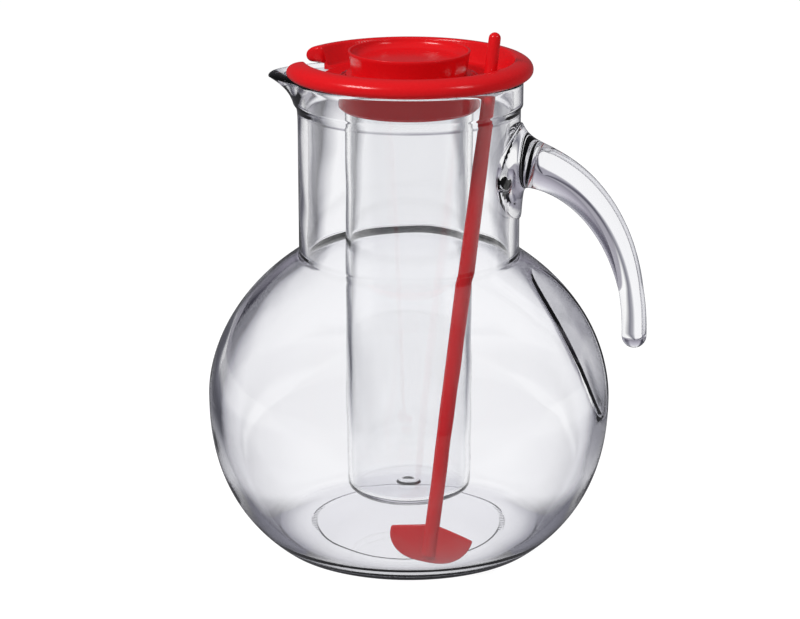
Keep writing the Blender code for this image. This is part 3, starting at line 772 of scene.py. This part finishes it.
# Lid
def ring_section():
    """The ring's closed section as radius and height, round on top and outside."""
    crest = RING_OUTER_RADIUS - RING_CREST_INSET
    widest = RING_BOTTOM + RING_WIDEST_RISE
    top = RING_BOTTOM + RING_RISE
    inner_top = DECK_RADIUS + WALL_LEAN
    points = [(inner_top, top - LID_WALL / 2)]
    points.append((inner_top + LID_WALL / 4, top - LID_WALL / 8))
    for share in evenly(0.0, 1.0, 20):
        out, up = superellipse(share, RING_OUTER_RADIUS - crest, top - widest, RING_TOP_POWER)
        points.append((crest + out, widest + up))
    low_width = RING_OVERHANG - RING_UNDERSIDE_WIDTH
    for share in evenly(1.0, 0.0, 10)[1:]:
        out, down = superellipse(share, low_width, RING_WIDEST_RISE, 2)
        points.append((RING_OUTER_RADIUS - low_width + out, widest - down))
    points.append((PLUG_RADIUS, RING_BOTTOM))
    points.append((PLUG_RADIUS - LID_WALL / 2, RING_BOTTOM + LID_WALL))
    return points


def rounded_ends(section, half_open, end_round):
    """Angles and sections of a ring that is open round -X and has rounded ends."""
    count = len(section)
    middle = (sum(p[0] for p in section) / count, sum(p[1] for p in section) / count)
    start = -math.pi + half_open
    sections = []
    for angle in evenly(math.pi / 2, 0.0, RING_END_STEPS):
        shrink = 1 - (1 - math.cos(angle)) * RING_END_SHRINK_SHARE
        turn = start + end_round / middle[0] * (1 - math.sin(angle))
        scaled = [
            (middle[0] + (r - middle[0]) * shrink, middle[1] + (z - middle[1]) * shrink)
            for r, z in section
        ]
        sections.append((turn, scaled))
    for turn in evenly(sections[-1][0], -sections[-1][0], RED_STEPS)[1:-1]:
        sections.append((turn, section))
    sections += [(-turn, points) for turn, points in reversed(sections[:RING_END_STEPS])]
    return sections


def make_lid(material):
    ring = arc_sweep("lid_red", rounded_ends(ring_section(), POUR_HALF_ANGLE, RING_END_ROUND))
    inner_top = DECK_RADIUS + WALL_LEAN
    top = RING_BOTTOM + RING_RISE
    wall = [
        (inner_top, top - LID_WALL / 2),
        (inner_top + LID_WALL, top - LID_WALL),
        (PLUG_RADIUS, RING_BOTTOM + LID_WALL),
        (PLUG_RADIUS, DECK_BOTTOM),
        (POUR_EDGE - LID_WALL, DECK_BOTTOM),
        (POUR_EDGE - LID_WALL, DECK_TOP),
        (DECK_RADIUS - DECK_FILLET, DECK_TOP),
        (DECK_RADIUS - DECK_FILLET / 3, DECK_TOP + DECK_FILLET / 3),
        (DECK_RADIUS, DECK_TOP + DECK_FILLET),
    ]
    start = -math.pi + POUR_HALF_ANGLE + RING_END_ROUND / RING_OUTER_RADIUS
    turns = evenly(start, -start, RED_STEPS)
    side = arc_sweep("lid_wall", [(turn, wall) for turn in turns])
    middle = [
        (POUR_EDGE, DECK_TOP),
        (POUR_EDGE, DECK_BOTTOM),
        (COLLAR_RADIUS, DECK_BOTTOM),
        (COLLAR_RADIUS, COLLAR_BOTTOM + COLLAR_CHAMFER),
        (COLLAR_RADIUS - COLLAR_CHAMFER, COLLAR_BOTTOM),
        (COLLAR_BORE, COLLAR_BOTTOM),
        (COLLAR_BORE, DECK_BOTTOM),
        (LEDGE_RADIUS, DECK_BOTTOM),
        (LEDGE_RADIUS, DECK_TOP),
    ]
    collar = lathe("lid_collar", middle, RED_STEPS, closed=True)
    combine(ring, side, "UNION")
    combine(ring, collar, "UNION")
    combine(ring, prism("slot", slot_corners(), COLLAR_BOTTOM, RIM_HEIGHT), "DIFFERENCE")
    shade(ring, LID_SHARP_DEGREES)
    return dressed(ring, material, "lid", "red_plastic", "lid")


def slot_corners():
    """An arc slot with round ends, opposite the spout."""
    half = SLOT_WIDTH / 2
    corners = [polar(SLOT_RADIUS + half, a) for a in evenly(-SLOT_HALF_ANGLE, SLOT_HALF_ANGLE, 25)]
    corners += slot_end(SLOT_HALF_ANGLE, SLOT_HALF_ANGLE)
    corners += [polar(SLOT_RADIUS - half, a) for a in evenly(SLOT_HALF_ANGLE, -SLOT_HALF_ANGLE, 25)]
    corners += slot_end(-SLOT_HALF_ANGLE, math.pi - SLOT_HALF_ANGLE)
    return corners


def slot_end(angle, start):
    centre_x, centre_y = polar(SLOT_RADIUS, angle)
    points = []
    for sweep in evenly(0.0, math.pi, 17)[1:-1]:
        x, y = polar(SLOT_WIDTH / 2, start + sweep)
        points.append((centre_x + x, centre_y + y))
    return points


# Ice tube and its cap
def make_tube(material):
    inner_floor = TUBE_BOTTOM + TUBE_FLOOR
    inner_corner = TUBE_CORNER - TUBE_WALL
    points = []
    for out_share, up_share in PIP_SHARES:
        points.append((PIP_RADIUS * out_share, inner_floor + PIP_HEIGHT * up_share))
    for angle in evenly(-math.pi / 2, 0.0, 9):
        out = inner_corner * math.cos(angle)
        up = inner_corner * (1 + math.sin(angle))
        points.append((TUBE_BORE - inner_corner + out, inner_floor + up))
    for height in evenly(inner_floor + inner_corner, TUBE_TOP, 60)[1:]:
        points.append((TUBE_BORE, height))
    points.append((FLANGE_RADIUS, TUBE_TOP))
    points.append((FLANGE_RADIUS, FLANGE_BOTTOM))
    for height in evenly(FLANGE_BOTTOM, TUBE_BOTTOM + TUBE_CORNER, 60)[:-1]:
        points.append((TUBE_RADIUS, height))
    for angle in evenly(0.0, -math.pi / 2, 12):
        out = TUBE_CORNER * math.cos(angle)
        up = TUBE_CORNER * (1 + math.sin(angle))
        points.append((TUBE_RADIUS - TUBE_CORNER + out, TUBE_BOTTOM + up))
    points.append((0.0, TUBE_BOTTOM))
    tube = lathe("tube_clear", points, TUBE_STEPS, sharp=TURNED_SHARP_DEGREES)
    return dressed(tube, material, "ice_tube", "clear_plastic", "ice_tube")


def make_cap(material):
    plug = TUBE_BORE - TUBE_CLEARANCE
    dish = CAP_TOP - CAP_DISH_DEPTH
    rim_inner = CAP_RIM_RADIUS - CAP_RIM_WIDTH
    shoulder_top = CAP_BOTTOM + CAP_SHOULDER_HEIGHT
    shoulder = TUBE_BORE + CAP_SHOULDER_WIDTH
    rim_round = CAP_RIM_WIDTH / 2
    points = [(0.0, dish)]
    points += [(radius, dish) for radius in evenly(CAP_DISH_RADIUS / 8, CAP_DISH_RADIUS, 8)]
    for share in evenly(0.0, 1.0, 12)[1:]:
        out, down = superellipse(share, rim_inner - CAP_DISH_RADIUS, CAP_DISH_DEPTH, 2)
        points.append((CAP_DISH_RADIUS + out, CAP_TOP - down))
    for angle in evenly(math.pi, 0.0, 7)[1:]:
        out, up = polar(rim_round, angle)
        points.append((CAP_RIM_RADIUS - rim_round + out, CAP_TOP + up / 2))
    for share in evenly(0.0, 1.0, 8)[1:]:
        radius = CAP_RIM_RADIUS + (CAP_WAIST_RADIUS - CAP_RIM_RADIUS) * share
        points.append((radius, CAP_TOP + (shoulder_top - CAP_TOP) * share))
    points.append((shoulder, shoulder_top))
    points.append((shoulder, CAP_BOTTOM))
    points.append((plug, CAP_BOTTOM))
    points.append((plug, CAP_BOTTOM - PLUG_DEPTH))
    points.append((plug - CAP_WALL, CAP_BOTTOM - PLUG_DEPTH))
    points.append((CAP_WAIST_RADIUS - CAP_WALL, shoulder_top))
    points.append((CAP_DISH_RADIUS, dish - CAP_WALL))
    points.append((0.0, dish - CAP_WALL))
    cap = lathe("cap_red", points, RED_STEPS, sharp=TURNED_SHARP_DEGREES)
    return dressed(cap, material, "tube_cap", "red_plastic", "tube_cap")


# Stirrer
def stirrer_foot():
    x, y = polar(FOOT_RADIUS, FOOT_ANGLE)
    return Vector((x, y, floor_height(FOOT_RADIUS) + FOOT_CLEARANCE))


def stirrer_direction():
    x, y = polar(SLOT_RADIUS, ROD_DECK_ANGLE)
    return (Vector((x, y, DECK_TOP)) - stirrer_foot()).normalized()


def rod_stations():
    foot = stirrer_foot()
    lean = stirrer_direction()
    length = (RIM_HEIGHT + ROD_TOP_RISE - foot.z) / lean.z
    straight_end = length - ROD_TOP_RADIUS
    middle = (ROD_FOOT_GAP + straight_end) / 2
    stations = []
    for along in evenly(ROD_FOOT_GAP, straight_end, 41):
        share = abs(along - middle) / (straight_end - middle)
        end = ROD_FOOT_RADIUS if along < middle else ROD_TOP_RADIUS
        radius = ROD_MIDDLE_RADIUS + (end - ROD_MIDDLE_RADIUS) * share
        stations.append((foot + lean * along, lean, radius))
    for angle in evenly(0.0, math.pi / 2, 9)[1:]:
        along = straight_end + ROD_TOP_RADIUS * math.sin(angle)
        radius = ROD_TOP_RADIUS * max(math.cos(angle), ROD_END_SHARE)
        stations.append((foot + lean * along, lean, radius))
    return stations


def make_stirrer(material):
    rod = swept("stirrer_red", rod_stations(), ROD_STEPS)
    half = PADDLE_WIDTH / 2
    deep = PADDLE_HEIGHT - PADDLE_DROP
    corners = [(0.0, PADDLE_HEIGHT)]
    for share in evenly(1.0, -1.0, 61):
        across, down = superellipse(abs(share), half, deep, PADDLE_POWER)
        corners.append((math.copysign(across, share) - PADDLE_SKEW_SHARE * down, deep - down))
    paddle = prism("paddle", corners, -PADDLE_THICKNESS / 2, PADDLE_THICKNESS / 2)
    bevel = paddle.modifiers.new("edge", "BEVEL")
    bevel.width = PADDLE_EDGE
    bevel.segments = PADDLE_EDGE_STEPS
    bevel.limit_method = "ANGLE"
    bevel.angle_limit = PADDLE_EDGE_ANGLE
    lean = stirrer_direction()
    level = Vector((math.cos(PADDLE_ANGLE), math.sin(PADDLE_ANGLE), 0.0))
    across = (level - lean * level.dot(lean)).normalized()
    facing = across.cross(lean)
    place = Matrix((across, lean, facing)).transposed().to_4x4()
    paddle.matrix_world = Matrix.Translation(stirrer_foot()) @ place
    combine(rod, paddle, "UNION")
    shade(rod, ROD_SHARP_DEGREES)
    return dressed(rod, material, "stirrer", "red_plastic", "stirrer")


# Materials
def new_material(name):
    material = bpy.data.materials.new(name)
    material.use_nodes = True
    tree = material.node_tree
    return material, tree, tree.nodes["Principled BSDF"]


def node(tree, kind, **values):
    made = tree.nodes.new(kind)
    for name, value in values.items():
        setattr(made, name, value)
    return made


def stops(ramp, wanted):
    """Sets a colour ramp's stops, each a position and a colour."""
    elements = ramp.color_ramp.elements
    while len(elements) < len(wanted):
        elements.new(1.0)
    for element, (position, color) in zip(elements, wanted):
        element.position = position
        element.color = (*color, 1.0)


def let_lamps_through(tree, shader, color):
    """Lamps reach what is behind the glass."""
    path = node(tree, "ShaderNodeLightPath")
    clear = node(tree, "ShaderNodeBsdfTransparent")
    clear.inputs["Color"].default_value = (*color, 1.0)
    mix = node(tree, "ShaderNodeMixShader")
    tree.links.new(path.outputs["Is Shadow Ray"], mix.inputs[0])
    tree.links.new(shader.outputs[0], mix.inputs[1])
    tree.links.new(clear.outputs[0], mix.inputs[2])
    tree.links.new(mix.outputs[0], tree.nodes["Material Output"].inputs["Surface"])


def clear_material(name, ior, painted_edge_shade, lamp):
    """A clear material with painted edge shade, which darkens it where the surface turns away."""
    material, tree, shader = new_material(name)
    shader.inputs["Transmission Weight"].default_value = 1.0
    shader.inputs["Roughness"].default_value = 0.0
    shader.inputs["IOR"].default_value = ior
    # Painted shade: the base colour greys towards the edges, by how far the surface faces away
    weight = node(tree, "ShaderNodeLayerWeight")
    weight.inputs["Blend"].default_value = 0.5
    ramp = node(tree, "ShaderNodeValToRGB")
    stops(ramp, painted_edge_shade)
    tree.links.new(weight.outputs["Facing"], ramp.inputs[0])
    tree.links.new(ramp.outputs[0], shader.inputs["Base Color"])
    let_lamps_through(tree, shader, lamp)
    return material


def red_material():
    material, tree, shader = new_material("red_plastic")
    place = node(tree, "ShaderNodeTexCoord")
    grain = node(tree, "ShaderNodeTexNoise")
    grain.inputs["Scale"].default_value = GRAIN_SCALE
    grain.inputs["Detail"].default_value = GRAIN_DETAIL
    tint = node(tree, "ShaderNodeValToRGB")
    tint.color_ramp.elements[0].color = RED_DARKER
    tint.color_ramp.elements[1].color = RED_LIGHTER
    rough = node(tree, "ShaderNodeMapRange")
    rough.inputs["To Min"].default_value = RED_GLOSSIEST
    rough.inputs["To Max"].default_value = RED_DULLEST
    bump = node(tree, "ShaderNodeBump")
    bump.inputs["Strength"].default_value = GRAIN_STRENGTH
    bump.inputs["Distance"].default_value = GRAIN_DEPTH
    tree.links.new(place.outputs["Object"], grain.inputs["Vector"])
    tree.links.new(grain.outputs["Fac"], tint.inputs[0])
    tree.links.new(grain.outputs["Fac"], rough.inputs["Value"])
    tree.links.new(grain.outputs["Fac"], bump.inputs["Height"])
    tree.links.new(tint.outputs[0], shader.inputs["Base Color"])
    tree.links.new(rough.outputs[0], shader.inputs["Roughness"])
    tree.links.new(bump.outputs[0], shader.inputs["Normal"])
    shader.inputs["IOR"].default_value = RED_IOR
    shader.inputs["Specular IOR Level"].default_value = RED_GLOSS_SHARE
    return material


# Studio
def add_camera():
    camera = bpy.data.cameras.new("camera")
    camera.lens = CAMERA_LENS
    camera.sensor_width = CAMERA_SENSOR
    camera.clip_end = CAMERA_REACH
    holder = bpy.data.objects.new("camera", camera)
    holder.location = CAMERA_PLACE
    holder.rotation_euler = (CAMERA_TILT, 0.0, CAMERA_TURN)
    bpy.context.scene.collection.objects.link(holder)
    bpy.context.scene.camera = holder


def lit_collection():
    """What the lamps light: all but the clear pieces, whose look comes from what is round them."""
    lit = bpy.data.collections.new("lit_by_lamps")
    for piece in bpy.context.scene.objects:
        if piece.type == "MESH" and piece.name not in ("jug_glass", "tube_clear"):
            lit.objects.link(piece)
    return lit


def add_softbox(name, place, aim, width, height, power, lit):
    light = bpy.data.lights.new(name, "AREA")
    light.shape = "RECTANGLE"
    light.size = width
    light.size_y = height
    light.energy = power
    holder = bpy.data.objects.new(name, light)
    holder.location = place
    direction = Vector(aim) - Vector(place)
    holder.rotation_euler = direction.to_track_quat("-Z", "Y").to_euler()
    holder.light_linking.receiver_collection = lit
    bpy.context.scene.collection.objects.link(holder)


def sideways(tree, spot):
    """How far a place lies to the right of the photographed view, and how far behind the jug."""
    right = (math.cos(CAMERA_TURN), math.sin(CAMERA_TURN), 0.0)
    behind = (-math.sin(CAMERA_TURN), math.cos(CAMERA_TURN), 0.0)
    parts = []
    for axis in (right, behind):
        dot = node(tree, "ShaderNodeVectorMath", operation="DOT_PRODUCT")
        tree.links.new(spot, dot.inputs[0])
        dot.inputs[1].default_value = axis
        parts.append(dot.outputs["Value"])
    return parts


def azimuth_share(tree, spot):
    """0.5 for what stands straight behind the jug, growing to its right and falling to its left."""
    angle = calculated(tree, "ARCTAN2", *sideways(tree, spot))
    return calculated(tree, "MULTIPLY_ADD", angle, 0.5 / math.pi, 0.5)


def seen_by(tree, path, name):
    """1 for rays of that kind that go straight on to the eye, so they add no light."""
    lit = calculated(tree, "LESS_THAN", path.outputs["Diffuse Depth"], 0.5)
    return calculated(tree, "MULTIPLY", path.outputs[name], lit)


def calculated(tree, operation, *values):
    """A math node fed by sockets and numbers."""
    made = node(tree, "ShaderNodeMath", operation=operation)
    for socket, value in zip(made.inputs, values):
        if isinstance(value, (int, float)):
            socket.default_value = value
        else:
            tree.links.new(value, socket)
    return made.outputs[0]


def ramp_of(tree, value, wanted):
    ramp = node(tree, "ShaderNodeValToRGB")
    stops(ramp, wanted)
    tree.links.new(value, ramp.inputs[0])
    return ramp.outputs[0]


def product(tree, first, second):
    mix = node(tree, "ShaderNodeMix", data_type="RGBA", blend_type="MULTIPLY")
    mix.inputs["Factor"].default_value = 1.0
    tree.links.new(first, mix.inputs["A"])
    tree.links.new(second, mix.inputs["B"])
    return mix.outputs["Result"]


def chosen(tree, factor, without, within):
    """One shader where the factor is 0 and the other where it is 1."""
    mix = node(tree, "ShaderNodeMixShader")
    tree.links.new(factor, mix.inputs[0])
    tree.links.new(without, mix.inputs[1])
    tree.links.new(within, mix.inputs[2])
    return mix.outputs[0]


def add_world():
    """White to look at, soft as light, and with two dark flags in what the glass refracts."""
    world = bpy.data.worlds.new("studio")
    bpy.context.scene.world = world
    world.use_nodes = True
    tree = world.node_tree
    light = tree.nodes["Background"]
    light.inputs["Color"].default_value = (1.0, 1.0, 1.0, 1.0)
    light.inputs["Strength"].default_value = WORLD_LIGHT
    path = node(tree, "ShaderNodeLightPath")
    place = node(tree, "ShaderNodeTexCoord").outputs["Generated"]
    split = node(tree, "ShaderNodeSeparateXYZ")
    tree.links.new(place, split.inputs[0])
    flags = ramp_of(tree, azimuth_share(tree, place), FLAG_STOPS)
    height = ramp_of(tree, split.outputs["Z"], SKY_STOPS)
    refracted = node(tree, "ShaderNodeBackground")
    tree.links.new(product(tree, flags, height), refracted.inputs["Color"])
    mirrored = node(tree, "ShaderNodeBackground")
    tree.links.new(ramp_of(tree, split.outputs["Z"], MIRROR_STOPS), mirrored.inputs["Color"])
    white = node(tree, "ShaderNodeBackground")
    white.inputs["Color"].default_value = (1.0, 1.0, 1.0, 1.0)
    shader = chosen(tree, seen_by(tree, path, "Is Glossy Ray"), light.outputs[0], mirrored.outputs[0])
    shader = chosen(tree, seen_by(tree, path, "Is Transmission Ray"), shader, refracted.outputs[0])
    shader = chosen(tree, path.outputs["Is Camera Ray"], shader, white.outputs[0])
    tree.links.new(shader, tree.nodes["World Output"].inputs["Surface"])


def add_floor():
    """White to look at, with a faint shadow, and with painted shade in what the glass refracts: dark
    strips, a dark ring round the jug, and darker ground behind and in front.
    """
    bpy.ops.mesh.primitive_plane_add(size=FLOOR_SIZE, location=(0.0, 0.0, FLOOR_LEVEL))
    floor = bpy.context.object
    floor.name = "floor"
    material, tree, shader = new_material("floor_white")
    shader.inputs["Roughness"].default_value = 1.0
    shader.inputs["Specular IOR Level"].default_value = 0.0
    path = node(tree, "ShaderNodeLightPath")
    spot = node(tree, "ShaderNodeNewGeometry").outputs["Position"]
    # Painted shade for the glass to refract: dark strips, a dark ring round the jug, and grey far behind
    # and in front
    right, behind = sideways(tree, spot)
    across = calculated(tree, "ADD", right, 0.5)
    painted_strips = ramp_of(tree, across, PAINTED_STRIP_SHADE_STOPS)
    depth = calculated(tree, "ADD", behind, 0.5)
    ends = ramp_of(tree, depth, PAINTED_STRIP_SHADE_END_STOPS)
    front = ramp_of(tree, depth, PAINTED_FRONT_SHADE_STOPS)
    far = ramp_of(tree, behind, PAINTED_FAR_SHADE_STOPS)
    reach = node(tree, "ShaderNodeVectorMath", operation="LENGTH")
    tree.links.new(spot, reach.inputs[0])
    painted_contact_shade = ramp_of(tree, reach.outputs["Value"], PAINTED_CONTACT_SHADE_STOPS)
    back = ramp_of(tree, depth, PAINTED_CONTACT_SHADE_BACK_STOPS)
    painted_contact_shade = lifted(tree, lifted(tree, painted_contact_shade, back), ramp_of(tree, across, PAINTED_CONTACT_SHADE_MIDDLE_STOPS))
    refracted = product(tree, lifted(tree, painted_strips, ends), product(tree, painted_contact_shade, far))
    refracted = product(tree, refracted, front)
    glossy = seen_by(tree, path, "Is Glossy Ray")
    transmission = seen_by(tree, path, "Is Transmission Ray")
    seen = mixed(tree, path.outputs["Is Camera Ray"], FLOOR_LIGHT, FLOOR_WHITE)
    seen = mixed(tree, glossy, seen, FLOOR_MIRRORED)
    seen = mixed(tree, transmission, seen, refracted)
    base = mixed(tree, glossy, FLOOR_SHADED, BLACK)
    base = mixed(tree, transmission, base, BLACK)
    tree.links.new(base, shader.inputs["Base Color"])
    tree.links.new(seen, shader.inputs["Emission Color"])
    shader.inputs["Emission Strength"].default_value = 1.0
    floor.data.materials.append(material)


def mixed(tree, factor, without, within):
    """One colour where the factor is 0 and the other where it is 1."""
    mix = node(tree, "ShaderNodeMix", data_type="RGBA")
    tree.links.new(factor, mix.inputs["Factor"])
    for name, value in (("A", without), ("B", within)):
        if isinstance(value, tuple):
            mix.inputs[name].default_value = value
        else:
            tree.links.new(value, mix.inputs[name])
    return mix.outputs["Result"]


def lifted(tree, flags, near):
    """The painted shade of the first value, gone where the second value is white."""
    mix = node(tree, "ShaderNodeMix", data_type="RGBA", blend_type="LIGHTEN")
    mix.inputs["Factor"].default_value = 1.0
    tree.links.new(flags, mix.inputs["A"])
    tree.links.new(near, mix.inputs["B"])
    return mix.outputs["Result"]


def main():
    bpy.context.scene.view_settings.view_transform = "Standard"
    glass = clear_material("clear_glass", GLASS_IOR, GLASS_PAINTED_EDGE_SHADE, LAMP_THROUGH_GLASS)
    plastic = clear_material("clear_plastic", PLASTIC_IOR, PLASTIC_PAINTED_EDGE_SHADE, LAMP_THROUGH_PLASTIC)
    red = red_material()
    make_glass(glass)
    make_lid(red)
    make_tube(plastic)
    make_cap(red)
    make_stirrer(red)
    add_camera()
    add_world()
    add_floor()
    lit = lit_collection()
    for softbox in SOFTBOXES:
        add_softbox(*softbox, lit)


main()
